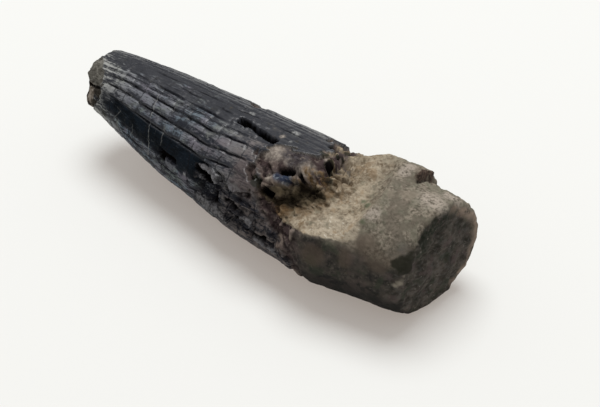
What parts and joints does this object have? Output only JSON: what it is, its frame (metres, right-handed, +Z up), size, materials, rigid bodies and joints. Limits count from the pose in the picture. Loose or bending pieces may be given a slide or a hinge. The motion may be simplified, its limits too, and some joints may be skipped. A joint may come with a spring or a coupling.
{
  "type": "fossil dinosaur tooth",
  "caption": "Fluted conical fossil tooth lying on its side: dark ridged crown with a broken tip, broken-out middle and broken root end.",
  "frame": {"origin": "middle of the tooth's footprint, on the surface that it lies on", "axes": "+X along the tooth from its broken tip to its broken root end, +Z up"},
  "size_m": [0.0681, 0.0227, 0.0191],
  "materials": {
    "fossil": "dark fluted enamel with a dull sheen on the crown, matt grey-brown stone on the root"
  },
  "bodies": {
    "root": {"tooth": "fossil"}
  },
  "joints": []
}
